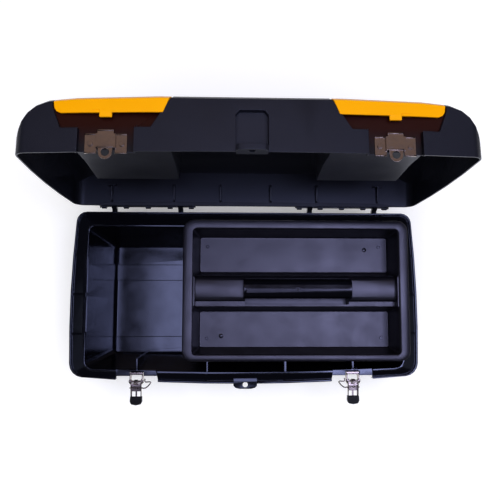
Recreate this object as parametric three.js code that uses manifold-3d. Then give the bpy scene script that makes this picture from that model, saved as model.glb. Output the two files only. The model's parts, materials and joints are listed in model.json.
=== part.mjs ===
// Plastic toolbox with a lift-out tray, lid organizers and two toggle latches.
// Units are millimetres. X is the long side, -Y the front, +Z up.
// The origin is the middle of the flat underside of the box.
// The lid stands open on its hinge stop.
import * as THREE from 'three';
import { mergeVertices } from 'three/addons/utils/BufferGeometryUtils.js';
import Module from 'manifold-3d';

const wasm = await Module();
wasm.setup();

// ---- driving dimensions ----
const RIM_Z = 160;            // top of the base's outer bead
const LIP_Z = 164.5;          // top of the base's inner wall
const HALF_W = 304.6;         // half width at the widest point of the rim
const BACK_Y = 143;           // back edge of the rim
const FRONT_Y = -143;         // front edge of the rim at its corners
const FRONT_BOW = 14;         // how far the front bulges at its middle
const SIDE_BOW = 0.00026;     // curvature of the ends in plan
const WALL = 3.5;             // base wall
const FLOOR_Z = 4;            // inside floor of the base
const LID_WALL = 2.6;
const LID_GAP = 0.3;          // lid rim over base bead when closed
const HINGE_Y = 152.7;
const HINGE_Z = 161.8;
const LID_OPEN = 93.1;        // degrees
const LID_HALF_W = 307.2;     // half width of the lid at its widest
const LID_SIDE_BOW = 0.000337;
const PIN_R = 1.9;
const LATCH_X = 187;
const NOTCH_HALF = 35;        // half width of the gap in the front flange
const TRAY = { x0: -109.6, x1: 288.9, y0: -118.7, y1: 128.4, top: 168, plate: 3.2, floor: 110 };
const PIVOT_Y = -152, PIVOT_Z = 162;   // latch lever pivot
const COVER_T = 3.0;
const COVER_HINGE_Y = 9.2, COVER_HINGE_H = 97.8;
const HANDLE_PIVOT_Y = -26, HANDLE_PIVOT_H = 84;

// ---- colours ----
const C = {
  black: { color: 0x191a20, roughness: 0.5, metalness: 0 },
  tray: { color: 0x22222a, roughness: 0.45, metalness: 0 },
  yellow: { color: 0xfab200, roughness: 0.42, metalness: 0 },
  steel: { color: 0xa8a29c, roughness: 0.3, metalness: 1 },
  tip: { color: 0x0c0c0e, roughness: 0.55, metalness: 0 },
};

// ---- solids ----
function toSolid(geometry) {
  let g = geometry.clone();
  g.deleteAttribute('normal');
  g.deleteAttribute('uv');
  g = mergeVertices(g, 1e-4);
  const v = g.attributes.position.array, t = new Uint32Array(g.index.array);
  // faces point outwards: the signed volume is positive
  let six = 0;
  for (let i = 0; i < t.length; i += 3) {
    const [a, b, c] = [t[i] * 3, t[i + 1] * 3, t[i + 2] * 3];
    six += v[a] * (v[b + 1] * v[c + 2] - v[b + 2] * v[c + 1]) - v[a + 1] * (v[b] * v[c + 2] - v[b + 2] * v[c]) + v[a + 2] * (v[b] * v[c + 1] - v[b + 1] * v[c]);
  }
  if (six < 0) for (let i = 0; i < t.length; i += 3) [t[i], t[i + 1]] = [t[i + 1], t[i]];
  return new wasm.Manifold(new wasm.Mesh({ numProp: 3, vertProperties: new Float32Array(v), triVerts: t }));
}
function toGeometry(s) {
  const m = s.getMesh();
  const g = new THREE.BufferGeometry();
  g.setAttribute('position', new THREE.BufferAttribute(new Float32Array(m.vertProperties), 3));
  g.setIndex(new THREE.BufferAttribute(new Uint32Array(m.triVerts), 1));
  g.computeVertexNormals();
  return g;
}
const union = (list) => list.reduce((a, b) => a.add(b));
const cut = (a, ...list) => list.reduce((s, b) => s.subtract(b), a);

function box(x0, x1, y0, y1, z0, z1) {
  const g = new THREE.BoxGeometry(x1 - x0, y1 - y0, z1 - z0);
  g.translate((x0 + x1) / 2, (y0 + y1) / 2, (z0 + z1) / 2);
  return toSolid(g);
}
function extrude(points, depth) {
  return new THREE.ExtrudeGeometry(new THREE.Shape(points.map((p) => new THREE.Vector2(p[0], p[1]))), {
    depth, bevelEnabled: false, curveSegments: 8, steps: 1,
  });
}
// outline in (x, y), along Z
function prismZ(points, z0, z1) {
  const g = extrude(points, z1 - z0);
  g.translate(0, 0, z0);
  return toSolid(g);
}
// outline in (y, z), along X
function prismX(points, x0, x1) {
  const g = extrude(points, x1 - x0);
  g.applyMatrix4(new THREE.Matrix4().set(0, 0, 1, x0, 1, 0, 0, 0, 0, 1, 0, 0, 0, 0, 0, 1));
  return toSolid(g);
}
// outline in (x, z), along Y
function prismY(points, y0, y1) {
  const g = extrude(points, y1 - y0);
  g.applyMatrix4(new THREE.Matrix4().set(1, 0, 0, 0, 0, 0, -1, y1, 0, 1, 0, 0, 0, 0, 0, 1));
  return toSolid(g);
}
function rodX(r, x0, x1, y, z, n = 16) {
  const g = new THREE.CylinderGeometry(r, r, x1 - x0, n);
  g.rotateZ(-Math.PI / 2);
  g.translate((x0 + x1) / 2, y, z);
  return toSolid(g);
}
function rodY(r, y0, y1, x, z, n = 16) {
  const g = new THREE.CylinderGeometry(r, r, y1 - y0, n);
  g.translate(x, (y0 + y1) / 2, z);
  return toSolid(g);
}
function rodZ(r, z0, z1, x, y, n = 20) {
  const g = new THREE.CylinderGeometry(r, r, z1 - z0, n);
  g.rotateX(Math.PI / 2);
  g.translate(x, y, (z0 + z1) / 2);
  return toSolid(g);
}
// sections: lists of [x, y, z], the same count in each, counter-clockwise seen from the last section's side
function loft(sections) {
  const n = sections[0].length, pos = [], idx = [];
  for (const s of sections) for (const p of s) pos.push(...p);
  for (let k = 0; k < sections.length - 1; k++) {
    for (let i = 0; i < n; i++) {
      const a = k * n + i, b = k * n + (i + 1) % n, c = a + n, d = b + n;
      idx.push(a, b, d, a, d, c);
    }
  }
  const cap = (k, flip, drop) => {
    const flat = sections[k].map((p) => new THREE.Vector2(...p.filter((_, i) => i !== drop)));
    const cw = THREE.ShapeUtils.isClockWise(flat);
    for (const t of THREE.ShapeUtils.triangulateShape(flat, [])) {
      const u = t.map((i) => k * n + i);
      // triangulateShape keeps the outline's own turning direction
      if (flip) u.reverse();
      idx.push(...u);
    }
    return cw;
  };
  const drop = loft.axis;
  cap(0, true, drop);
  cap(sections.length - 1, false, drop);
  const g = new THREE.BufferGeometry();
  g.setAttribute('position', new THREE.BufferAttribute(new Float32Array(pos), 3));
  g.setIndex(idx);
  return g;
}
loft.axis = 2;
function loftZ(sections) { loft.axis = 2; return toSolid(loft(sections)); }
function loftY(sections) { loft.axis = 1; return toSolid(loft(sections)); }

function fillet(c, d1, d2, r, n) {
  const turn = Math.acos(Math.max(-1, Math.min(1, d1[0] * d2[0] + d1[1] * d2[1])));
  const t = r * Math.tan(turn / 2);
  const p = [c[0] - d1[0] * t, c[1] - d1[1] * t];
  const m = [p[0] - d1[1] * r, p[1] + d1[0] * r];
  const out = [];
  for (let i = 0; i <= n; i++) {
    const a = (turn * i) / n, x = p[0] - m[0], y = p[1] - m[1];
    out.push([m[0] + x * Math.cos(a) - y * Math.sin(a), m[1] + x * Math.sin(a) + y * Math.cos(a)]);
  }
  return out;
}
const unit = (x, y) => { const l = Math.hypot(x, y); return [x / l, y / l]; };
// plan outline, counter-clockwise from the front right corner
function plan({ w = HALF_W, back = BACK_Y, front = FRONT_Y, bow = FRONT_BOW, side = SIDE_BOW, rf = 24, rb = 18, cx = 0, n = 4 }) {
  const X = (y) => w - side * (y + 40) ** 2;
  const wf = X(front), Y = (x) => front - bow * (1 - (x / wf) ** 2);
  const slope = 2 * bow / wf;
  const sf = 2 * side * (40 + front) * -1, sb = -2 * side * (back + 40);
  const up = unit(sf, 1), upb = unit(sb, 1);
  const fr = fillet([wf, front], unit(1, slope), up, rf, n);
  const br = fillet([X(back), back], upb, [-1, 0], rb, n);
  const pts = [...fr];
  const y0 = fr[n][1], y1 = br[0][1];
  for (let i = 1; i < 4; i++) { const y = y0 + (y1 - y0) * i / 4; pts.push([X(y), y]); }
  pts.push(...br);
  for (const p of [...br].reverse()) pts.push([-p[0], p[1]]);
  for (let i = 3; i > 0; i--) { const y = y0 + (y1 - y0) * i / 4; pts.push([-X(y), y]); }
  for (const p of [...fr].reverse()) pts.push([-p[0], p[1]]);
  const xs = fr[0][0];
  for (let i = 1; i < 8; i++) { const x = -xs + 2 * xs * i / 8; pts.push([x, Y(x)]); }
  return pts.map((p) => [p[0] + cx, p[1]]);
}
const at = (pts, z) => pts.map((p) => [p[0], p[1], z]);
// closed sweep of a section round two matching outlines: entries are [fraction, offset, z]
function ring(O, L, section) {
  const n = O.length, m = section.length, pos = [], idx = [];
  for (let i = 0; i < n; i++) {
    const dx = L[i][0] - O[i][0], dy = L[i][1] - O[i][1], len = Math.hypot(dx, dy);
    for (const [f, a, z] of section) {
      const s = f * len + a;
      pos.push(O[i][0] + dx / len * s, O[i][1] + dy / len * s, z);
    }
  }
  for (let i = 0; i < n; i++) {
    for (let j = 0; j < m; j++) {
      const a = i * m + j, b = i * m + (j + 1) % m, c = ((i + 1) % n) * m + j, d = ((i + 1) % n) * m + (j + 1) % m;
      idx.push(a, c, d, a, d, b);
    }
  }
  const g = new THREE.BufferGeometry();
  g.setAttribute('position', new THREE.BufferAttribute(new Float32Array(pos), 3));
  g.setIndex(idx);
  return toSolid(g);
}
// round wire along points, closed loops have no ends
function wire(points, r, closed, n = 8) {
  const P = points.map((p) => new THREE.Vector3(...p)), pos = [], idx = [], N = P.length;
  let ref = null;
  for (let i = 0; i < N; i++) {
    const a = P[closed ? (i + N - 1) % N : Math.max(0, i - 1)], b = P[closed ? (i + 1) % N : Math.min(N - 1, i + 1)];
    const t = b.clone().sub(a).normalize();
    if (!ref) ref = new THREE.Vector3(0, 0, 1);
    const u = ref.clone().sub(t.clone().multiplyScalar(ref.dot(t))).normalize();
    const v = t.clone().cross(u);
    for (let j = 0; j < n; j++) {
      const k = 2 * Math.PI * j / n;
      const q = P[i].clone().add(u.clone().multiplyScalar(r * Math.cos(k))).add(v.clone().multiplyScalar(r * Math.sin(k)));
      pos.push(q.x, q.y, q.z);
    }
  }
  const rows = closed ? N : N - 1;
  for (let i = 0; i < rows; i++) {
    for (let j = 0; j < n; j++) {
      const a = i * n + j, b = i * n + (j + 1) % n, c = ((i + 1) % N) * n + j, d = ((i + 1) % N) * n + (j + 1) % n;
      idx.push(a, b, d, a, d, c);
    }
  }
  if (!closed) {
    for (let j = 1; j < n - 1; j++) {
      idx.push(0, j + 1, j);
      const o = (N - 1) * n;
      idx.push(o, o + j, o + j + 1);
    }
  }
  const g = new THREE.BufferGeometry();
  g.setAttribute('position', new THREE.BufferAttribute(new Float32Array(pos), 3));
  g.setIndex(idx);
  return toSolid(g);
}

// ---- scene graph ----
const group = new THREE.Group();
const lidGroup = new THREE.Group();
lidGroup.position.set(0, HINGE_Y, HINGE_Z);
lidGroup.rotation.x = -LID_OPEN * Math.PI / 180;
group.add(lidGroup);
function put(parent, name, solid, look) {
  const g = toGeometry(solid);
  if (parent === lidGroup) g.translate(0, -HINGE_Y, -HINGE_Z);
  const mesh = new THREE.Mesh(g, new THREE.MeshStandardMaterial(look));
  mesh.name = name;
  parent.add(mesh);
}

// ================= base =================
const rimOut = plan({});
const lipIn = { w: 276.2, back: 116.4, front: -129.6, bow: 7, side: 0.00012, rf: 14, rb: 10 };
const grow = (o, d) => ({ ...o, w: o.w + d, back: o.back + d, front: o.front - d, rf: Math.max(2, o.rf + d), rb: Math.max(2, o.rb + d) });
const floorIn = { w: 255.5, back: 97, front: -113, bow: 3, side: 0.00004, rf: 10, rb: 8 };
function between(t) {
  const o = {};
  for (const k of Object.keys(lipIn)) o[k] = floorIn[k] + (lipIn[k] - floorIn[k]) * t;
  return o;
}
const depthT = (z) => (z - FLOOR_Z) / (LIP_Z - FLOOR_Z);
const outer = (z, d = 0) => at(plan(grow(between(depthT(z)), WALL + d)), z);
const inner = (z, d = 0) => at(plan(grow(between(depthT(z)), d)), z);
let base = loftZ([outer(0, -3), outer(3), outer(LIP_Z)]);
const lipOut = outer(LIP_Z).map((p) => [p[0], p[1]]);
base = base.add(ring(rimOut, lipOut, [
  [0, 0, 149], [0, 0, RIM_Z], [0, 3.2, RIM_Z], [0, 5, 157], [1, -0.5, 162.3], [1, 1.6, 162.3], [1, 1.6, 158.8], [0, 5.6, 153.6], [0, 3, 149],
].reverse()));
// gussets across the flange
const gusset = (poly, horizontal, c) => (horizontal ? prismX(poly, c - 1.3, c + 1.3) : prismY(poly, c - 1.3, c + 1.3));
for (const s of [-1, 1]) {
  for (const y of [66, -3, -71]) base = base.add(gusset([[s * 277, 152], [s * 277, 164.2], [s * 299, 159.7], [s * 301, 154]], false, y));
}
for (const x of [-245, -95, 0, 95, 170, 245]) base = base.add(gusset([[118, 152], [118, 164.2], [138, 159.7], [140.5, 154]], true, x));
for (const x of [-68, 68]) base = base.add(gusset([[-136, 152], [-136, 164.2], [-151, 159.7], [-153, 154]], true, x));
// hollow
base = base.subtract(loftZ([inner(FLOOR_Z, -4), inner(FLOOR_Z + 4), inner(LIP_Z + 3)]));
// end pads that carry the tray rim, and the ribs on the front wall
for (const s of [-1, 1]) {
  for (const [y0, y1] of [[-68, -6], [0, 63]]) {
    base = base.add(prismY([[s * 282, 156], [s * 282, LIP_Z], [s * 274.2, LIP_Z], [s * 275.6, 150], [s * 277, 150]], y0, y1));
  }
}
const frontAt = (x, z) => { const o = between(depthT(z)); return o.front - o.bow * (1 - (x / o.w) ** 2); };
for (const x of [-187, -66, 69, 187]) {
  base = base.add(prismX([[frontAt(x, LIP_Z) - 1.5, LIP_Z - 0.2], [-112.6, LIP_Z - 0.2], [-109, FLOOR_Z - 1], [frontAt(x, FLOOR_Z) - 1.5, FLOOR_Z - 1]], x - 1.6, x + 1.6));
}
// shallow steps in the floor
base = union([base, box(-250, 250, 61, 96, 3, 7), box(-252, 252, 30, 62, 3, 5.4), box(-252, 252, -112, -82, 3, 6.4)]);
// gap in the front flange at each latch, with a flat ledge and a slot for the latch
for (const s of [-1, 1]) {
  const x = s * LATCH_X;
  base = base.subtract(prismZ([[x - NOTCH_HALF, -143], [x - NOTCH_HALF - 4, -175], [x + NOTCH_HALF + 4, -175], [x + NOTCH_HALF, -143]], 140, 175));
  base = base.add(prismZ([[x - NOTCH_HALF - 1, -131.6], [x - NOTCH_HALF - 1, -143], [x + NOTCH_HALF + 1, -143], [x + NOTCH_HALF + 1, -131.6]], 154, RIM_Z)
    .subtract(loftZ([inner(150), inner(166)])));
  base = base.subtract(box(x - NOTCH_HALF, x + NOTCH_HALF, -150, -131, RIM_Z, 175));
  base = base.subtract(box(x - 12, x + 12, -160, -135.4, 146, 175));
  base = base.add(prismX([[-128, 108], [-136.6, 116], [-136.6, 158.5], [-133, 158.5], [-133, 140]], x - 12.5, x + 12.5)
    .subtract(loftZ([inner(60), inner(170)])));
}
// padlock tab
base = base.add(prismZ([[-20.5, -148], [-20.5, -160.5], [-17, -164], [-10, -165.6], [10, -165.6], [17, -164], [20.5, -160.5], [20.5, -148]], 153.5, 159.6));
base = base.subtract(rodZ(4.6, 140, 170, 0, -158.6));
// hinge knuckles of the base
for (const s of [-1, 1]) {
  for (const k of [231.5, 115]) {
    const x = s * k;
    base = base.add(prismX([[139, 150], [148, 150], [157.6, 160], [157.4, 163.6], [HINGE_Y, 166.6], [148.2, 163.8], [147.4, 159.4], [139, 156]], x - 4.5, x + 4.5));
  }
  base = base.subtract(rodX(PIN_R + 0.4, s > 0 ? 80 : -262, s > 0 ? 262 : -80, HINGE_Y, HINGE_Z));
}
put(group, 'base_shell', base, C.black);

for (const [s, side] of [[-1, 'left'], [1, 'right']]) {
  put(group, `hinge_pin_${side}`, union([
    rodX(PIN_R, s > 0 ? 88.5 : -256, s > 0 ? 256 : -88.5, HINGE_Y, HINGE_Z),
    rodX(3.2, s > 0 ? 255 : -256.6, s > 0 ? 256.6 : -255, HINGE_Y, HINGE_Z)]), C.steel);
}

// ================= lid (drawn closed) =================
const LZ = RIM_Z + LID_GAP;
const END = [[307.4, 0], [305.8, 14], [302, 30], [296, 47], [288, 60], [277.5, 69.4], [262, 75.2], [225, 78], [120, 79.4]];
const BACKS = [[-146, 58, 1], [-145, 66, 1], [-141, 72.5, 1], [-134, 77.5, 1], [-110, 84.5, 0.8], [-65, 93.5, 0.45], [-20, 97, 0.12], [22, 97, 0], [70, 92.5, 0], [108, 83.5, 0], [130, 72.5, 0], [139.5, 62, 0], [144, 49, 0]];
function lidBody(d) {
  const sections = BACKS.map(([y, h, fade], k) => {
    const yy = k === 0 ? -190 : k === BACKS.length - 1 ? 190 : y + (y < 0 ? d : -d) * (Math.abs(y) > 100 ? 0.8 : 0.2);
    const f = h / 80;
    const half = END.map(([x, z]) => [x - d * (z > 70 ? 0.3 : 1), Math.max(0, z * f - d * (z > 60 ? 1 : z / 60 * 0.6)) ]);
    half[0][1] = 0;
    const pts = [...half, ...half.map(([x, z]) => [-x, z]).reverse()];
    return pts.map(([x, z]) => [x, yy - FRONT_BOW * (1 - Math.min(1, (x / 300) ** 2)) * fade, LZ + z]);
  });
  // closed along the rim plane; low enough for the hollow to break through
  for (const s of sections) { s[0][2] -= d > 0 ? 5 : 0; s[s.length - 1][2] -= d > 0 ? 5 : 0; }
  sections.reverse();
  const body = loftY(sections);
  const low = plan({ w: LID_HALF_W - d, side: LID_SIDE_BOW, back: BACK_Y - d, front: FRONT_Y + d, rf: 17 - d, rb: 18 - d });
  const high = plan({ w: LID_HALF_W - d, side: LID_SIDE_BOW, back: BACK_Y - 4 - d, front: FRONT_Y + 4 + d, rf: 17 - d, rb: 18 - d });
  return body.intersect(loftZ([at(low, LZ - 6), at(low, LZ), at(high, LZ + 110)]));
}
const lidOuter = lidBody(0).intersect(box(-400, 400, -300, 300, LZ, 400));
let lid = lidOuter.subtract(lidBody(LID_WALL));
// recess in the front under each organizer cover, and the organizer bin behind it
const mir = (pts, s) => pts.map(([a, b]) => [a * s, b]);
const L = (pts) => pts.map(([a, b]) => [a, b + LZ]);
const recessPoly = (d) => L([[101.5 - d, 140], [101.5 - d, 76.5], [129 - d * 1.2, 33 - d], [150 - d, 33 - d], [150 - d, -8], [222 + d, -8], [222 + d, 33 - d], [245 + d, 33 - d], [252 + d, 51], [256 + d, 62], [256 + d, 140]]);
const coverPoly = (d) => L([[104 - d, 140], [104 - d, 77], [114 - d, 53 - d], [245 + d, 53 - d], [250.5 + d, 55.5 - d], [253.5 + d, 60], [255 + d, 70], [255 + d, 140]]);
const RECESS_Y = -140.5, BIN_WALL = 2.6;
const lidIn34 = lidBody(3.4), lidIn30 = lidBody(COVER_T);
const rect = (x0, x1, y0, y1, z) => [[x0, y0, z], [x1, y0, z], [x1, y1, z], [x0, y1, z]];
for (const s of [-1, 1]) {
  const R = (x0, x1, y0, y1, z) => (s > 0 ? rect(x0, x1, y0, y1, z) : rect(-x1, -x0, y0, y1, z));
  lid = lid.add(prismY(mir(recessPoly(BIN_WALL), s), -150, RECESS_Y + BIN_WALL).intersect(lidOuter));
  const bin = loftZ([R(106, 229, -139, 8, LZ + 8), R(104, 246, -139, 10, LZ + 60), R(101, 258.4, -139, 12, LZ + 78), R(101, 258.4, -139, 12, LZ + 120)])
    .intersect(prismX([[-139, 300], [-139, LZ + 9.8], [-62, LZ + 14], [14, LZ + 9.8], [14, 300]], -400, 400));
  lid = lid.add(bin.intersect(lidOuter));
  lid = lid.subtract(prismY(mir(recessPoly(0), s), -220, RECESS_Y));
  const well = loftZ([R(108.6, 226.4, -137.9, 4, LZ + 8), R(106.6, 243.4, -137.9, 5, LZ + 60), R(106.2, 251.6, -137.9, 5.4, LZ + 78), R(106.2, 251.6, -137.9, 5.4, LZ + 120)])
    .intersect(prismX([[-137.9, 300], [-137.9, LZ + 12.4], [-62, LZ + 16.6], [6, LZ + 12.8], [6, 300]], -400, 400));
  lid = lid.subtract(well);
  lid = lid.subtract(prismY(mir(coverPoly(0.4), s), -220, 8.4).subtract(lidIn34));
}
// the foot of each latch recess clears the base's inner wall and the latch bracket when the lid is shut
for (const s of [-1, 1]) {
  const x = s * LATCH_X;
  lid = lid.subtract(box(x - 41, x + 41, -144, -130, LZ - 1, LZ + 2.6));
  lid = lid.subtract(box(x - 41, x + 41, -138.6, -130, LZ - 1, LZ + 5));
  lid = lid.subtract(box(x - 12.6, x + 12.6, -146, -130, LZ - 1, LZ + 6));
}
// ribs down the inside of the back
for (const x of [-233, -125, -44, 44, 125, 233]) {
  lid = lid.add(prismX([[142, LZ + 6], [134, LZ + 8], [129, LZ + 30], [131, LZ + 36], [142, LZ + 38]], x - 1.3, x + 1.3).intersect(lidOuter));
  if (Math.abs(x) === 233) lid = lid.add(box(x - 7, x + 7, 130, 144, LZ + 33.6, LZ + 36).intersect(lidOuter));
}
// recess in the middle of the front with the padlock tab at its foot
const eye = (d) => L([[-21 - d, 9 - d], [21 + d, 9 - d], [21 + d, 50], [16 + d, 56 + d], [-16 - d, 56 + d], [-21 - d, 50]]);
lid = lid.add(prismY(eye(2.4), -158, -143.6).intersect(lidOuter));
lid = lid.subtract(prismY(eye(0), -220, -146));
lid = lid.add(prismZ([[-20.5, -146], [-20.5, -160.5], [-17, -164], [-10, -165.6], [10, -165.6], [17, -164], [20.5, -160.5], [20.5, -146]], LZ, LZ + 8.4));
lid = lid.subtract(rodZ(4.6, LZ - 3, LZ + 12, 0, -158.6));
// handle well in the top, with holes for the handle's stubs
lid = lid.add(box(-97.2, 97.2, -40.6, 46.6, LZ + 70.4, LZ + 110).intersect(lidOuter));
lid = lid.subtract(box(-94.6, 94.6, -38, 44, LZ + 73, LZ + 130));
for (const s of [-1, 1]) {
  lid = lid.add(rodX(7, s > 0 ? 94.6 : -101, s > 0 ? 101 : -94.6, HANDLE_PIVOT_Y, LZ + HANDLE_PIVOT_H, 16));
  lid = lid.subtract(rodX(4.5, s > 0 ? 90 : -99, s > 0 ? 99 : -90, HANDLE_PIVOT_Y, LZ + HANDLE_PIVOT_H, 16));
}
// lugs that hold each organizer cover's hinge stubs
for (const s of [-1, 1]) {
  for (const x of [114.5, 135.5, 224.5, 245.5]) {
    const c = s * x;
    lid = lid.add(prismX([[5.6, LZ + 97], [5.8, LZ + 99], [7.6, LZ + 101], [COVER_HINGE_Y + 1.5, LZ + 101.2], [COVER_HINGE_Y + 5, LZ + 99.4], [COVER_HINGE_Y + 11, LZ + 93], [COVER_HINGE_Y + 11, LZ + 86], [COVER_HINGE_Y - 0.2, LZ + 86], [COVER_HINGE_Y - 0.2, LZ + 97]], c - 2.2, c + 2.2));
    lid = lid.subtract(rodX(2.1, c - 3, c + 3, COVER_HINGE_Y, LZ + COVER_HINGE_H, 12));
  }
}
for (const s of [-1, 1]) {
  for (const x of [125, 235]) {
    const c = s * x;
    lid = lid.subtract(box(c - 8.2, c + 8.2, 5, 13.6, LZ + 93.6, LZ + 120));
    lid = lid.add(box(c - 9, c + 9, 8, 15, LZ + 90.4, LZ + 93.6));
  }
}
// hinge knuckles of the lid
for (const s of [-1, 1]) {
  for (const k of [249, 210.5, 172, 133.5, 96]) {
    const x = s * k;
    lid = lid.add(prismX([[141, LZ + 0.4], [148.4, LZ + 0.2], [148.6, 158.6], [HINGE_Y, 157], [157, 159.4], [157.4, 163.6], [154.6, 167], [144, 174], [141, 174]], x - 4.5, x + 4.5));
  }
  lid = lid.subtract(rodX(PIN_R + 0.4, s > 0 ? 80 : -262, s > 0 ? 262 : -80, HINGE_Y, HINGE_Z));
}
put(lidGroup, 'lid_shell', lid, C.black);

// organizer covers
for (const [s, side] of [[-1, 'left'], [1, 'right']]) {
  let cover = lidOuter.subtract(lidIn30).intersect(prismY(mir(coverPoly(0), s), -220, 8));
  const front = (x) => FRONT_Y - FRONT_BOW * (1 - (x / 300) ** 2) + 2;
  const x = s * LATCH_X;
  cover = cover.add(box(x - 8, x + 8, front(LATCH_X) + 0.2, front(LATCH_X) + 3.2, LZ + 47, LZ + 56));
  for (const k of [114.5, 135.5, 224.5, 245.5]) cover = cover.subtract(box(s * k - 2.7, s * k + 2.7, 4.6, 12, LZ + 80, LZ + 110));
  for (const k of [125, 235]) {
    const c = s * k;
    const foot = LZ + (k === 125 ? 94.4 : 91.6);
    cover = cover.add(prismX([[-4, foot], [-2, LZ + 98.4], [6, LZ + 100.6], [COVER_HINGE_Y, LZ + 100.8], [COVER_HINGE_Y, LZ + 94.9], [7.6, LZ + 94.9], [7.6, foot]], c - 7.6, c + 7.6));
    cover = cover.add(rodX(3, c - 7.6, c + 7.6, COVER_HINGE_Y, LZ + COVER_HINGE_H, 16));
    cover = cover.add(rodX(1.7, c - 12.4, c + 12.4, COVER_HINGE_Y, LZ + COVER_HINGE_H, 12));
  }
  put(lidGroup, `organizer_cover_${side}`, cover, C.yellow);
}

// carry handle, folded into its well
{
  const bar = (x0, x1) => prismX([[17, LZ + 80], [21, LZ + 76], [37, LZ + 76], [41, LZ + 80], [41, LZ + 88], [36, LZ + 92.6], [22, LZ + 92.6], [17, LZ + 88]], x0, x1);
  let h = bar(-92, 92);
  for (const s of [-1, 1]) {
    const x0 = s > 0 ? 81 : -92, x1 = s > 0 ? 92 : -81;
    h = h.add(prismX([[HANDLE_PIVOT_Y - 7.4, LZ + 84], [HANDLE_PIVOT_Y - 5, LZ + 78.8], [HANDLE_PIVOT_Y, LZ + 76.6], [21, LZ + 76.4], [30, LZ + 84], [24, LZ + 92], [HANDLE_PIVOT_Y, LZ + 91.4], [HANDLE_PIVOT_Y - 5, LZ + 89.2]], x0, x1));
    h = h.add(rodX(4, s > 0 ? 90 : -98.4, s > 0 ? 98.4 : -90, HANDLE_PIVOT_Y, LZ + HANDLE_PIVOT_H, 16));
  }
  put(lidGroup, 'carry_handle', h, C.black);
}

// strikes on the lid and their rivets
for (const [s, side] of [[-1, 'left'], [1, 'right']]) {
  const x = s * LATCH_X, y = RECESS_Y - 0.3;
  let plate = union([
    box(x - 27, x - 11.6, y - 1.2, y, LZ + 0.4, LZ + 26.4),
    box(x + 11.6, x + 27, y - 1.2, y, LZ + 0.4, LZ + 26.4),
    box(x - 12.8, x - 10, y - 4.6, y, LZ + 7.6, LZ + 26.4),
    box(x + 10, x + 12.8, y - 4.6, y, LZ + 7.6, LZ + 26.4),
    box(x - 10.4, x + 10.4, y - 4.6, y - 3.2, LZ + 7.6, LZ + 31),
    box(x - 9.2, x + 9.2, y - 4.6, y - 3.2, LZ + 2, LZ + 8),
    rodY(9, y - 4.6, y - 3.2, x, LZ + 1.2, 24),
  ]);
  plate = plate.subtract(rodY(5.2, y - 8, y, x, LZ + 1.5, 20));
  plate = cut(plate, rodY(2.3, y - 3, y + 1, x - 20, LZ + 13.4, 12), rodY(2.3, y - 3, y + 1, x + 20, LZ + 13.4, 12));
  put(lidGroup, `strike_plate_${side}`, plate, C.steel);
  for (const [k, n] of [[-20, 'a'], [20, 'b']]) {
    put(lidGroup, `strike_rivet_${side}_${n}`, rodY(1.9, y - 1.6, y - 0.05, x + k, LZ + 13.4, 8).add(rodY(3.6, y - 2.6, y - 1.5, x + k, LZ + 13.4, 12)), C.steel);
  }
}

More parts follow.
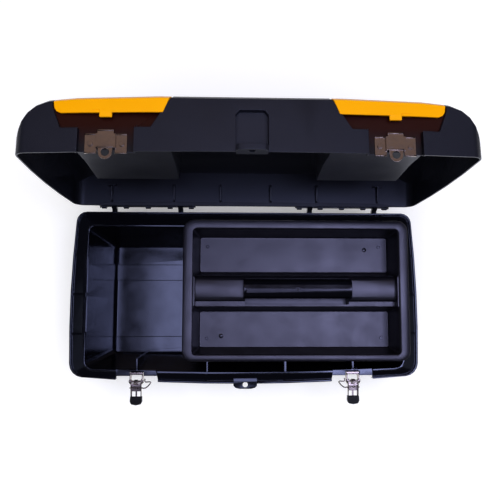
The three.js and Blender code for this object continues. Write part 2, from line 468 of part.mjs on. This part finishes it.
// ================= tray =================
{
  const rr = (x0, x1, y0, y1, r, n = 4) => {
    const pts = [];
    for (const [cx, cy, a0] of [[x1 - r, y0 + r, -90], [x1 - r, y1 - r, 0], [x0 + r, y1 - r, 90], [x0 + r, y0 + r, 180]]) {
      for (let i = 0; i <= n; i++) { const a = (a0 + 90 * i / n) * Math.PI / 180; pts.push([cx + r * Math.cos(a), cy + r * Math.sin(a)]); }
    }
    return pts;
  };
  const T = TRAY, under = T.top - T.plate;
  const O = rr(T.x0, T.x1, T.y0, T.y1, 18), I = rr(-92.5, 272.6, -107.4, 113.6, 7);
  let tray = ring(O, I, [[0, 0, under], [0, 0, T.top - 1.6], [0, 2.2, T.top - 0.3], [0.5, 0, T.top], [1, -1.5, T.top - 0.2], [1, 1, T.top - 1.2], [1, 1, under]].reverse());
  const wallIn = (z, d = 0) => {
    const t = (z - T.floor) / (T.top - T.floor);
    return rr(-82 - 10.5 * t - d, 265 + 5.6 * t + d, -97.5 - 9.9 * t - d, 104 + 8 * t + d, 6 + d);
  };
  const Z0 = T.floor - 2.5;
  tray = tray.add(loftZ([at(wallIn(T.floor, 1.5), Z0), at(wallIn(under + 0.5, 2.5), under + 0.5)]));
  // bins
  const q = (x0, x1, y0, y1, z) => at(rr(x0, x1, y0, y1, 4, 3), z);
  const backBin = loftZ([q(-82, 265, 39, 104, T.floor), q(-90.5, 269, 30, 110.5, 154), q(-92.5, 271, 25, 112.6, T.top + 4)]);
  const frontBin = loftZ([q(-82, 265, -97.5, -32, T.floor), q(-90.5, 269, -105, -24.5, 154), q(-92.5, 271, -107.4, -21, T.top + 4)]);
  tray = cut(tray, backBin, frontBin);
  // space over the spine between the bins
  tray = tray.subtract(prismX([[-24, 180], [-24, 146], [-14.5, 146], [-13, 150.5], [-6, 152.8], [8, 153.6], [22, 152.8], [27.5, 150], [31, 144], [31, 180]], -88.5, 268.5));
  // hollow under the spine
  tray = tray.subtract(prismX([[-29, 100], [-21.8, 143.4], [-12.6, 143.4], [-11, 148], [-5, 150.2], [8, 151], [21, 150.2], [25.6, 147.4], [36.4, 100]], -79.5, 262.5));
  // finger pocket under the handle bar
  tray = tray.add(prismX([[-25, 120], [-22.6, 145], [26, 147], [32, 120]], -2.4, 187.4).intersect(prismX([[-26.6, 100], [-21, 148], [27, 150], [37.5, 100]], -80, 262)));
  tray = tray.subtract(prismX([[-20, 122.6], [-19.2, 180], [24.6, 180], [26.4, 122.6]], 0, 185));
  // handle bar
  const barOut = [[-10, 152], [-10, 160], [-6.4, 165.4], [0, 168], [7, 168.8], [14, 168], [20.4, 165.4], [24, 160], [24, 152]];
  const barIn = [[-7.4, 150], [-7.4, 159.4], [-4, 163.6], [1.4, 165.4], [7, 166], [12.6, 165.4], [18, 163.6], [21.4, 159.4], [21.4, 150]];
  const ends = union([prismX([[-10, 146], ...barOut.slice(1, -1), [24, 146]], -3, 3), prismX([[-10, 146], ...barOut.slice(1, -1), [24, 146]], 182, 188)]);
  tray = union([tray, prismX(barOut, -1, 186).subtract(prismX(barIn, 2, 183)), ends]);
  put(group, 'tray', tray, C.tray);
}

// ================= latches =================
for (const [s, side] of [[-1, 'left'], [1, 'right']]) {
  const x = s * LATCH_X, Y = PIVOT_Y, Z = PIVOT_Z;
  // bracket: back plate with two ears and a turned-out top edge
  const ear = [[-137, 142], [-137, 160], [-141, 165.6], [Y, 167.4], [Y - 4, 165.4], [Y - 5, Z], [Y - 4, 158.6], [-145, 148], [-139, 142]];
  let bracket = union([
    box(x - 11, x + 11, -138.4, -137, 120, 162.6),
    box(x - 11, x + 11, -141, -137, 161.4, 162.6),
    prismX(ear, x - 11, x - 9.7), prismX(ear, x + 9.7, x + 11),
  ]);
  bracket = bracket.subtract(rodX(PIN_R + 0.4, x - 14, x + 14, Y, Z));
  bracket = cut(bracket, rodY(2.2, -140, -136, x, 128, 12), rodY(2.2, -140, -136, x, 144, 12));
  put(group, `latch_bracket_${side}`, bracket, C.steel);
  for (const [z, n] of [[128, 'low'], [144, 'high']]) {
    put(group, `bracket_rivet_${side}_${n}`, rodY(1.8, -138.9, -136.95, x, z, 8).add(rodY(3.4, -139.8, -138.7, x, z, 12)), C.steel);
  }
  put(group, `latch_pin_${side}`, rodX(PIN_R, x - 12.2, x + 12.2, Y, Z, 16).add(rodX(2.9, x + 11.4, x + 12.6, Y, Z, 16)).add(rodX(2.9, x - 12.6, x - 11.4, Y, Z, 16)), C.steel);

  // lever: channel with two windows, three rails and a hook at its pivot end
  const flange = [[Y + 3.6, Z + 2.4], [Y + 1.6, Z + 4], [Y - 3, Z + 4.2], [Y - 20, Z + 2.4], [Y - 26, Z + 1], [Y - 26, Z - 3.4], [Y + 2, Z - 3.8], [Y + 3.9, Z - 1.4]];
  let lever = union([
    prismX(flange, x - 9.3, x - 8), prismX(flange, x + 8, x + 9.3),
    box(x - 9, x + 9, Y - 37.4, Y - 3, Z - 3.8, Z - 2.4),
    prismX([[Y - 6, Z - 3.8], [Y - 6, Z - 2.4], [Y - 3.6, Z - 1], [Y - 3.6, Z + 7.6], [Y - 1.8, Z + 10.4], [Y + 1.2, Z + 9.8], [Y + 0.2, Z + 6], [Y + 3.2, Z + 2.4], [Y + 3.2, Z - 1.6], [Y + 1, Z - 3.8]], x - 3, x + 3),
    box(x - 8.6, x + 8.6, Y - 1.4 - 6, Y - 5.6, Z - 3.8, Z + 2.4),
  ]);
  lever = cut(lever, rodX(PIN_R + 0.35, x - 14, x + 14, Y, Z),
    box(x - 7.2, x - 1.4, Y - 25.4, Y - 17, Z - 6, Z), box(x + 1.4, x + 7.2, Y - 25.4, Y - 17, Z - 6, Z),
    rodX(1.5, x - 14, x + 14, Y - 11, Z - 0.2, 12));
  put(group, `latch_lever_${side}`, lever, C.steel);
  // moulded finger tip pushed over the end of the lever
  let tip = prismZ([[x - 10, Y - 25.8], [x - 10.4, Y - 34], [x - 8, Y - 38.4], [x, Y - 40], [x + 8, Y - 38.4], [x + 10.4, Y - 34], [x + 10, Y - 25.8]], Z - 6, Z + 2.6);
  tip = tip.subtract(box(x - 9.3, x + 9.3, Y - 37.7, Y - 24, Z - 4.1, Z - 2.1));
  tip = tip.subtract(box(x - 9.6, x + 9.6, Y - 26.3, Y - 24, Z - 4.1, Z + 1.4));
  put(group, `latch_tip_${side}`, tip, C.tip);
  // wire clip through the lever: straight shaft, loop on the side towards the middle of the box
  const m = -s;
  const P = [[-11.4, -11, 0], [-4, -11, 0], [4, -11, 0], [10.6, -11, 0], [12.8, -11.6, 0], [16, -11, 0], [20, -8, 0], [24, -3.4, 0], [24.6, -1.6, 0], [23.4, -0.6, 0], [18, -1, 0], [15.6, -1, 0], [14.5, 0.4, 0], [14.4, 2.6, 0], [14.8, 4.6, 0]];
  put(group, `latch_wire_${side}`, wire(P.map((p) => [x + m * p[0], Y + p[1], Z - 0.2 + p[2]]), 1.1, false, 8), C.steel);
}

export default group;
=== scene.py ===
import bpy, bmesh, math, json
from mathutils import Vector, Matrix
from mathutils.bvhtree import BVHTree


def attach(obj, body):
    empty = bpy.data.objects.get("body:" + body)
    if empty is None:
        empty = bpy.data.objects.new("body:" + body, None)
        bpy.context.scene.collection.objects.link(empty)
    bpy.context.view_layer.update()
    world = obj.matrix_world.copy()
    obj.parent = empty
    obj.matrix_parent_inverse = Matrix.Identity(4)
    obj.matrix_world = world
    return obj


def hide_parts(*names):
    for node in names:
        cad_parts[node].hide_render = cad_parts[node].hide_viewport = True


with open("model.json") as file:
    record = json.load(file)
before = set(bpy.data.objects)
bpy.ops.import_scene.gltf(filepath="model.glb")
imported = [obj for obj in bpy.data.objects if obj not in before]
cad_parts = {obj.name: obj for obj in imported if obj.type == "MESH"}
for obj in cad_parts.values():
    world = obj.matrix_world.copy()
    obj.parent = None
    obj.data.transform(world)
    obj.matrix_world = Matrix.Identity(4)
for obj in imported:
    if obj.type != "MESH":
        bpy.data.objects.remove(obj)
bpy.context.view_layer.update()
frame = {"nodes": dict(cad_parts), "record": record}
record = frame["record"]
COL = bpy.context.scene.collection

# ------------------------------------------------------------------ materials
def lin(r, g, b):
    f = lambda c: c / 12.92 if c <= 0.04045 else ((c + 0.055) / 1.055) ** 2.4
    return (f(r / 255), f(g / 255), f(b / 255), 1.0)


def plastic(name, base, rough, grain=0.0, grain_size=0.0006, mottle=0.12, spec=0.5, tint=(1, 1, 1, 1), ior=1.49, scuff=0.0, orange=0.0, sss=0.0):
    """Moulded plastic: slow colour mottle, flow-line and polish variation in the roughness, fine etched grain in the bump."""
    m = bpy.data.materials.new(name)
    m.use_nodes = True
    nt = m.node_tree
    N, L = nt.nodes, nt.links
    b = N["Principled BSDF"]
    b.inputs["IOR"].default_value = ior
    b.inputs["Specular IOR Level"].default_value = spec
    b.inputs["Specular Tint"].default_value = tint
    tc = N.new("ShaderNodeTexCoord")
    slow = N.new("ShaderNodeTexNoise"); slow.inputs["Scale"].default_value = 9.0; slow.inputs["Detail"].default_value = 3.0
    L.new(tc.outputs["Object"], slow.inputs["Vector"])
    ramp = N.new("ShaderNodeValToRGB")
    lo = [c * (1 - mottle) for c in base[:3]] + [1]
    hi = [min(1.0, c * (1 + mottle)) for c in base[:3]] + [1]
    ramp.color_ramp.elements[0].position = 0.3; ramp.color_ramp.elements[0].color = lo
    ramp.color_ramp.elements[1].position = 0.7; ramp.color_ramp.elements[1].color = hi
    L.new(slow.outputs["Fac"], ramp.inputs["Fac"])
    col = ramp.outputs["Color"]
    # handling marks: thin pale scratches
    if scuff > 0:
        mp = N.new("ShaderNodeMapping"); mp.inputs["Scale"].default_value = (22, 160, 60); mp.inputs["Rotation"].default_value = (0.3, 0.2, 0.5)
        L.new(tc.outputs["Object"], mp.inputs["Vector"])
        sc = N.new("ShaderNodeTexNoise"); sc.inputs["Scale"].default_value = 6.0; sc.inputs["Detail"].default_value = 8.0; sc.inputs["Roughness"].default_value = 0.7
        L.new(mp.outputs["Vector"], sc.inputs["Vector"])
        sr = N.new("ShaderNodeMapRange"); sr.inputs["From Min"].default_value = 0.66; sr.inputs["From Max"].default_value = 0.74
        sr.inputs["To Max"].default_value = scuff
        L.new(sc.outputs["Fac"], sr.inputs["Value"])
        mx = N.new("ShaderNodeMix"); mx.data_type = "RGBA"
        L.new(sr.outputs["Result"], mx.inputs["Factor"])
        L.new(col, mx.inputs["A"])
        mx.inputs["B"].default_value = [min(1, c * 3 + 0.03) for c in base[:3]] + [1]
        col = mx.outputs["Result"]
    L.new(col, b.inputs["Base Color"])
    # polish variation
    rn = N.new("ShaderNodeTexNoise"); rn.inputs["Scale"].default_value = 28.0; rn.inputs["Detail"].default_value = 5.0
    L.new(tc.outputs["Object"], rn.inputs["Vector"])
    rm = N.new("ShaderNodeMapRange"); rm.inputs["From Min"].default_value = 0.3; rm.inputs["From Max"].default_value = 0.7
    rm.inputs["To Min"].default_value = rough - 0.045; rm.inputs["To Max"].default_value = rough + 0.045
    L.new(rn.outputs["Fac"], rm.inputs["Value"])
    L.new(rm.outputs["Result"], b.inputs["Roughness"])
    prev = None
    if orange > 0:
        on = N.new("ShaderNodeTexNoise"); on.inputs["Scale"].default_value = 35.0; on.inputs["Detail"].default_value = 2.0
        L.new(tc.outputs["Object"], on.inputs["Vector"])
        ob = N.new("ShaderNodeBump"); ob.inputs["Strength"].default_value = 1.0; ob.inputs["Distance"].default_value = orange
        L.new(on.outputs["Fac"], ob.inputs["Height"])
        prev = ob
    if grain > 0:
        vn = N.new("ShaderNodeTexVoronoi"); vn.inputs["Scale"].default_value = 1.0 / grain_size
        gn = N.new("ShaderNodeTexNoise"); gn.inputs["Scale"].default_value = 0.8 / grain_size; gn.inputs["Detail"].default_value = 2.0
        L.new(tc.outputs["Object"], vn.inputs["Vector"]); L.new(tc.outputs["Object"], gn.inputs["Vector"])
        ad = N.new("ShaderNodeMath"); ad.operation = "ADD"
        L.new(vn.outputs["Distance"], ad.inputs[0]); L.new(gn.outputs["Fac"], ad.inputs[1])
        bp = N.new("ShaderNodeBump"); bp.inputs["Strength"].default_value = 1.0; bp.inputs["Distance"].default_value = grain
        L.new(ad.outputs[0], bp.inputs["Height"])
        if prev: L.new(prev.outputs["Normal"], bp.inputs["Normal"])
        prev = bp
    if prev: L.new(prev.outputs["Normal"], b.inputs["Normal"])
    if sss > 0:
        b.inputs["Subsurface Weight"].default_value = sss
        b.inputs["Subsurface Radius"].default_value = (0.004, 0.002, 0.0005)
        b.inputs["Subsurface Scale"].default_value = 0.5
    return m


def metal(name, base, rough, brush=0.00004, mottle=0.12, stretch=(40, 40, 900), tarnish=0.0):
    m = bpy.data.materials.new(name)
    m.use_nodes = True
    nt = m.node_tree
    N, L = nt.nodes, nt.links
    b = N["Principled BSDF"]
    b.inputs["Metallic"].default_value = 1.0
    tc = N.new("ShaderNodeTexCoord")
    slow = N.new("ShaderNodeTexNoise"); slow.inputs["Scale"].default_value = 90.0; slow.inputs["Detail"].default_value = 4.0
    L.new(tc.outputs["Object"], slow.inputs["Vector"])
    ramp = N.new("ShaderNodeValToRGB")
    ramp.color_ramp.elements[0].position = 0.32; ramp.color_ramp.elements[0].color = [c * (1 - mottle) for c in base[:3]] + [1]
    ramp.color_ramp.elements[1].position = 0.68; ramp.color_ramp.elements[1].color = [min(1, c * (1 + mottle)) for c in base[:3]] + [1]
    L.new(slow.outputs["Fac"], ramp.inputs["Fac"])
    L.new(ramp.outputs["Color"], b.inputs["Base Color"])
    mp = N.new("ShaderNodeMapping"); mp.inputs["Scale"].default_value = stretch
    L.new(tc.outputs["Object"], mp.inputs["Vector"])
    br = N.new("ShaderNodeTexNoise"); br.inputs["Scale"].default_value = 4.0; br.inputs["Detail"].default_value = 6.0
    L.new(mp.outputs["Vector"], br.inputs["Vector"])
    rm = N.new("ShaderNodeMapRange"); rm.inputs["From Min"].default_value = 0.3; rm.inputs["From Max"].default_value = 0.7
    rm.inputs["To Min"].default_value = rough - 0.06; rm.inputs["To Max"].default_value = rough + 0.08
    L.new(br.outputs["Fac"], rm.inputs["Value"])
    L.new(rm.outputs["Result"], b.inputs["Roughness"])
    bp = N.new("ShaderNodeBump"); bp.inputs["Strength"].default_value = 1.0; bp.inputs["Distance"].default_value = brush
    L.new(br.outputs["Fac"], bp.inputs["Height"])
    L.new(bp.outputs["Normal"], b.inputs["Normal"])
    return m


BLUE = (0.72, 0.78, 1.0, 1)
M = {
    "shell_out": plastic("black_shell_textured", (0.0082, 0.0082, 0.0125), 0.45, grain=0.00009, grain_size=0.0011, spec=0.55, tint=BLUE, scuff=0.02),
    "shell_in": plastic("black_shell_smooth", (0.0016, 0.0016, 0.0030), 0.15, grain=0.000004, grain_size=0.0010, spec=1.0, tint=BLUE, orange=0.00003),
    "lid_in": plastic("black_lid_inside", (0.0030, 0.0030, 0.0052), 0.43, grain=0.000006, grain_size=0.0010, spec=1.0, tint=BLUE, orange=0.00004),
    "recess": plastic("black_shell_recess", (0.0060, 0.0050, 0.0070), 0.40, grain=0.00003, grain_size=0.0010, spec=0.22),
    "tray": plastic("tray_satin", (0.0034, 0.0032, 0.0052), 0.34, grain=0.00002, grain_size=0.0009, spec=1.0, tint=(0.84, 0.83, 1.0, 1), orange=0.00004),
    "tray_gloss": plastic("tray_handle_polished", (0.0016, 0.0016, 0.0028), 0.20, grain=0.000005, grain_size=0.0009, spec=0.75, tint=(0.8, 0.8, 1.0, 1), orange=0.00005),
    "yellow": plastic("yellow_cover_satin", lin(230, 156, 0), 0.36, grain=0.00002, grain_size=0.0010, mottle=0.03, spec=0.16, orange=0.00005, sss=0.05),
    "tip": plastic("black_tip_moulded", (0.0020, 0.0020, 0.0024), 0.42, grain=0.00005, grain_size=0.0008, spec=0.3),
    "nickel": metal("nickel_plated_steel", (0.36, 0.30, 0.275), 0.18, brush=0.000006, mottle=0.05),
    "zinc": metal("dark_steel_rod", (0.10, 0.10, 0.11), 0.34, brush=0.00001, stretch=(900, 40, 40), mottle=0.06),
}

# painted reflection: the recess base colour turns warm red-brown towards the yellow covers (by object Y), standing in
# for the yellow light the covers bounce onto the recess wall beside them
_nt = M["recess"].node_tree
_src = _nt.nodes["Principled BSDF"].inputs["Base Color"].links[0].from_socket
_tc = _nt.nodes.new("ShaderNodeTexCoord")
_xyz = _nt.nodes.new("ShaderNodeSeparateXYZ")
_nt.links.new(_tc.outputs["Object"], _xyz.inputs["Vector"])
_mr = _nt.nodes.new("ShaderNodeMapRange")
_mr.inputs["From Min"].default_value = 0.176; _mr.inputs["From Max"].default_value = 0.206
_nt.links.new(_xyz.outputs["Y"], _mr.inputs["Value"])
_mx = _nt.nodes.new("ShaderNodeMix"); _mx.data_type = "RGBA"
_nt.links.new(_mr.outputs["Result"], _mx.inputs["Factor"])
_nt.links.new(_src, _mx.inputs["A"])
# painted reflection colour: warm red-brown for the light bounced off the yellow covers
_mx.inputs["B"].default_value = (0.013, 0.0016, 0.0004, 1)
_nt.links.new(_mx.outputs["Result"], _nt.nodes["Principled BSDF"].inputs["Base Color"])

# ------------------------------------------------------------------ surfaces
HY, HZ, OPEN = 0.1527, 0.1618, math.radians(93.1)
CLOSE = Matrix.Translation((0, HY, HZ)) @ Matrix.Rotation(OPEN, 4, "X") @ Matrix.Translation((0, -HY, -HZ))
UNCLOSE = CLOSE.inverted()


def clean_copy(node):
    me = frame["nodes"][node].data.copy()
    bm = bmesh.new(); bm.from_mesh(me)
    bmesh.ops.remove_doubles(bm, verts=bm.verts, dist=2e-6)
    bmesh.ops.recalc_face_normals(bm, faces=bm.faces)
    return me, bm


def new_piece(name, me, body, mats):
    ob = bpy.data.objects.new(name, me)
    COL.objects.link(ob)
    me.materials.clear()
    for m in mats:
        me.materials.append(m)
    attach(ob, body)
    return ob


def apply_modifiers(ob):
    dg = bpy.context.evaluated_depsgraph_get()
    me = bpy.data.meshes.new_from_object(ob.evaluated_get(dg), preserve_all_data_layers=True, depsgraph=dg)
    ob.modifiers.clear()
    ob.data = me


def soften(ob, width, segs=2, angle=32, smooth=38):
    me = ob.data
    me.shade_smooth()
    me.set_sharp_from_angle(angle=math.radians(smooth))
    bv = ob.modifiers.new("edge", "BEVEL")
    bv.width = width
    bv.segments = segs
    bv.limit_method = "ANGLE"
    bv.angle_limit = math.radians(angle)
    bv.use_clamp_overlap = False
    bv.harden_normals = False
    bv.miter_outer = "MITER_ARC"
    apply_modifiers(ob)
    me = ob.data
    me.shade_smooth()
    me.set_sharp_from_angle(angle=math.radians(50))
    wn = ob.modifiers.new("normals", "WEIGHTED_NORMAL")
    wn.keep_sharp = True
    apply_modifiers(ob)


def refine(node, body, mats, width, segs=2, angle=32, classify=None, smooth=38):
    me, bm = clean_copy(node)
    if classify:
        tree = BVHTree.FromBMesh(bm)
        bm.faces.ensure_lookup_table()
        for f in bm.faces:
            f.material_index = classify(f, tree)
    kinds = [f.material_index for f in bm.faces] if classify else None
    bm.to_mesh(me); bm.free()
    ob = new_piece(node + "_surface", me, body, mats)
    if kinds:
        me.polygons.foreach_set("material_index", kinds)
    soften(ob, width, segs, angle, smooth)
    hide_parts(node)
    return ob


def escapes(f, tree):
    c = f.calc_center_median()
    hit = tree.ray_cast(c + f.normal * 2e-4, f.normal)
    return hit[0] is None


def base_side(f, tree):
    n, c = f.normal, f.calc_center_median()
    outward = n.x * c.x / 0.09 + n.y * c.y / 0.0225 > 0.0 or n.z < -0.5
    return 0 if (outward and escapes(f, tree) and n.z < 0.4 and c.z < 0.1605) else 1


def lid_side(f, tree):
    n = CLOSE.to_3x3() @ f.normal
    c = CLOSE @ f.calc_center_median()
    if n.z > -0.3 and 0.100 < abs(c.x) < 0.262 and -0.1412 < c.y < -0.1398 and abs(n.y) > 0.9 and c.z > 0.168:
        return 2
    return 0 if (escapes(f, tree) and n.z > -0.3) else 1


refine("base_shell", "base", [M["shell_out"], M["shell_in"]], 0.0006, classify=base_side)
refine("lid_shell", "lid", [M["shell_out"], M["lid_in"], M["recess"]], 0.0006, classify=lid_side)
def tray_side(f, tree):
    c = f.calc_center_median()
    return 1 if (-0.0035 < c.x < 0.1885 and -0.0105 < c.y < 0.0245 and c.z > 0.147) else 0


refine("tray", "tray_body", [M["tray"], M["tray_gloss"]], 0.0008, classify=tray_side)
for s in ("left", "right"):
    refine(f"organizer_cover_{s}", f"cover_{s}", [M["yellow"]], 0.0006)
    refine(f"strike_plate_{s}", "lid", [M["nickel"]], 0.00025)
    refine(f"latch_bracket_{s}", "base", [M["nickel"]], 0.00025)
    refine(f"latch_lever_{s}", f"lever_{s}", [M["nickel"]], 0.00025)
    refine(f"latch_tip_{s}", f"lever_{s}", [M["tip"]], 0.0009, segs=3)
    refine(f"latch_wire_{s}", f"wire_{s}", [M["nickel"]], 0.0001, angle=70, smooth=60)
    for k in ("a", "b"):
        refine(f"strike_rivet_{s}_{k}", "lid", [M["nickel"]], 0.0003)
    for k in ("low", "high"):
        refine(f"bracket_rivet_{s}_{k}", "base", [M["nickel"]], 0.0003)
    refine(f"latch_pin_{s}", "base", [M["nickel"]], 0.0003)
    refine(f"hinge_pin_{s}", "base", [M["zinc"]], 0.0003)
refine("carry_handle", "handle", [M["shell_out"]], 0.0012, segs=3)

# ------------------------------------------------------------------ moulded details
def lathe(name, profile, at, mat, body, n=28, closed_lid=False, axis="Z", smooth=40):
    """Solid of revolution; profile is [radius, height] from the bottom of the axis round to the top of the axis."""
    bm = bmesh.new()
    rings = []
    for r, h in profile:
        if r < 1e-7:
            rings.append([bm.verts.new((0, 0, h))])
        else:
            rings.append([bm.verts.new((r * math.cos(2 * math.pi * k / n), r * math.sin(2 * math.pi * k / n), h)) for k in range(n)])
    for a, b in zip(rings, rings[1:]):
        for k in range(n):
            q = [a[k % len(a)], a[(k + 1) % len(a)], b[(k + 1) % len(b)], b[k % len(b)]]
            u = []
            for v in q:
                if v not in u:
                    u.append(v)
            if len(u) > 2:
                bm.faces.new(u)
    bmesh.ops.recalc_face_normals(bm, faces=bm.faces)
    R = Matrix.Identity(4)
    if axis == "-Y":
        R = Matrix.Rotation(math.radians(90), 4, "X")
    T = Matrix.Translation(at) @ R
    if closed_lid:
        T = UNCLOSE @ T
    bm.transform(T)
    me = bpy.data.meshes.new(name)
    bm.to_mesh(me); bm.free()
    ob = new_piece(name, me, body, [mat])
    me.shade_smooth()
    me.set_sharp_from_angle(angle=math.radians(smooth))
    return ob


def slab(name, lo, hi, mat, body, bevel=0.0003, closed_lid=False):
    bm = bmesh.new()
    bmesh.ops.create_cube(bm, size=1.0)
    c = (Vector(lo) + Vector(hi)) / 2
    d = Vector(hi) - Vector(lo)
    T = Matrix.Translation(c) @ Matrix.Diagonal((d.x, d.y, d.z, 1))
    bm.transform(T)
    bmesh.ops.bevel(bm, geom=list(bm.edges), offset=bevel, segments=3, affect="EDGES", profile=0.5)
    if closed_lid:
        bm.transform(UNCLOSE)
    me = bpy.data.meshes.new(name)
    bm.to_mesh(me); bm.free()
    ob = new_piece(name, me, body, [mat])
    me.shade_smooth()
    me.set_sharp_from_angle(angle=math.radians(50))
    return ob


# bosses, ejector marks and the gate mark of the tray moulding
for k, (bx, by) in enumerate([(-0.0685, 0.0871), (0.2498, 0.0871), (-0.0688, -0.0815), (0.2515, -0.0812)]):
    lathe(f"tray_boss_{k + 1}", [(0, 0.1094), (0.0034, 0.1094), (0.0033, 0.1112), (0.0029, 0.1117), (0.0021, 0.1117), (0.0017, 0.1113), (0.0015, 0.1101), (0, 0.1101)], (bx, by, 0), M["tray_gloss"], "tray_body")
for k, (bx, by) in enumerate([(0.2232, 0.0819), (-0.0430, -0.0770)]):
    lathe(f"tray_ejector_mark_{k + 1}", [(0, 0.1096), (0.0041, 0.1096), (0.0041, 0.1101), (0.0038, 0.1103), (0, 0.1103)], (bx, by, 0), M["tray_gloss"], "tray_body")
lathe("tray_gate_mark", [(0, 0.1682), (0.0040, 0.1682), (0.0039, 0.1692), (0.0032, 0.1694), (0.0022, 0.1694), (0.0018, 0.1691), (0, 0.1691)], (0.0919, 0.0066, 0), M["tray_gloss"], "tray_body")

for s, side in ((-1, "left"), (1, "right")):
    X = s * 0.187
    # turned lips along the top and the foot of the strike's three leaves
    for n, (a, b, y0, y1, z0, z1) in {
        "foot_a": (-27.2, -11.6, -143.6, -140.9, 0.2, 2.0), "foot_b": (11.6, 27.2, -143.6, -140.9, 0.2, 2.0),
        "head_a": (-27.0, -13.0, -142.9, -140.9, 25.2, 26.8), "head_b": (13.0, 27.0, -142.9, -140.9, 25.2, 26.8),
        "head_c": (-10.6, 10.6, -146.1, -144.0, 29.6, 31.4), "foot_c": (-10.4, 10.4, -146.3, -144.0, 7.4, 9.2)}.items():
        slab(f"strike_lip_{side}_{n}", (X + a / 1000, y0 / 1000, 0.1603 + z0 / 1000), (X + b / 1000, y1 / 1000, 0.1603 + z1 / 1000), M["nickel"], "lid", bevel=0.0004, closed_lid=True)

# ------------------------------------------------------------------ camera
CAM = Vector((-0.0287, -0.033, 0.160 + 1.035))
tilt, pan, roll = math.radians(6.0), math.radians(2.03), math.radians(0.22)
fwd = Vector((0, math.sin(tilt), -math.cos(tilt)))
right = Vector((1, 0, 0))
up = Vector((0, math.cos(tilt), math.sin(tilt)))
f2 = fwd * math.cos(pan) + right * math.sin(pan)
r2 = right * math.cos(pan) - fwd * math.sin(pan)
r3 = r2 * math.cos(roll) + up * math.sin(roll)
u3 = up * math.cos(roll) - r2 * math.sin(roll)
cd = bpy.data.cameras.new("photo_camera")
cam = bpy.data.objects.new("photo_camera", cd)
COL.objects.link(cam)
cd.sensor_width = 36.0
cd.lens = 588 / 500 * 36
cd.dof.use_dof = False
cd.clip_start, cd.clip_end = 0.01, 30
m = Matrix((r3, u3, -f2)).transposed().to_4x4()
m.translation = CAM
cam.matrix_world = m
bpy.context.scene.camera = cam

# ------------------------------------------------------------------ floor and light
fm = bpy.data.materials.new("studio_floor")
fm.use_nodes = True
fb = fm.node_tree.nodes["Principled BSDF"]
fn = fm.node_tree.nodes.new("ShaderNodeTexNoise"); fn.inputs["Scale"].default_value = 3.0
fr = fm.node_tree.nodes.new("ShaderNodeValToRGB")
fr.color_ramp.elements[0].color = (0.84, 0.84, 0.84, 1); fr.color_ramp.elements[1].color = (0.88, 0.88, 0.88, 1)
fm.node_tree.links.new(fn.outputs["Fac"], fr.inputs["Fac"])
fm.node_tree.links.new(fr.outputs["Color"], fb.inputs["Base Color"])
fb.inputs["Roughness"].default_value = 0.9
fb.inputs["Specular IOR Level"].default_value = 0.1
fb.inputs["Emission Color"].default_value = (1, 1, 1, 1)
fb.inputs["Emission Strength"].default_value = 0.28
bpy.ops.mesh.primitive_plane_add(size=14, location=(0, 0, -0.0005))
floor = bpy.context.object
floor.name = "studio_floor"
floor.data.materials.append(fm)


def area(name, loc, size, power, target=(0, 0.05, 0.2), color=(1, 1, 1), size_y=None):
    ld = bpy.data.lights.new(name, "AREA")
    ld.shape = "RECTANGLE"
    ld.size = size
    ld.size_y = size_y or size
    ld.energy = power
    ld.color = color
    lo = bpy.data.objects.new(name, ld)
    COL.objects.link(lo)
    lo.location = loc
    lo.rotation_euler = (Vector(target) - Vector(loc)).to_track_quat("-Z", "Y").to_euler()
    return lo


def softbox(name, x0, x1, y0, y1, z, radiance, color):
    lo = area(name, ((x0 + x1) / 2, (y0 + y1) / 2, z), x1 - x0, 1.0, target=((x0 + x1) / 2, (y0 + y1) / 2, 0), color=color, size_y=y1 - y0)
    lo.data.energy = radiance * math.pi * (x1 - x0) * (y1 - y0)
    return lo


COOL = (0.64, 0.66, 1.0)
softbox("overhead_softbox_left", -0.50, 0.45, -0.375, 0.36, 2.4, 3.0, COOL)
softbox("overhead_softbox_right", 0.45, 0.98, -0.375, 0.36, 2.4, 7.0, COOL)
fill = area("overhead_fill", (0, -0.2, 3.0), 3.0, 0.0, target=(0, 0, 0), size_y=3.0)
fill.data.energy = 3.4 * math.pi * 9.0
fill.visible_glossy = False
softbox("warm_card", -1.2, 1.2, 0.75, 1.9, 2.4, 0.30, (1.0, 0.74, 0.62))
area("left_softbox", (-2.4, -0.6, 1.5), 1.4, 1.0, color=(0.8, 0.85, 1.0))
area("right_softbox", (2.4, -0.6, 1.5), 1.4, 1.0, color=(0.8, 0.85, 1.0))

w = bpy.data.worlds.new("studio")
bpy.context.scene.world = w
w.use_nodes = True
w.node_tree.nodes["Background"].inputs["Color"].default_value = (0.5, 0.52, 0.6, 1)
w.node_tree.nodes["Background"].inputs["Strength"].default_value = 0.03
sc = bpy.context.scene
sc.view_settings.view_transform = "Standard"
sc.view_settings.look = "None"
sc.view_settings.exposure = 0.0
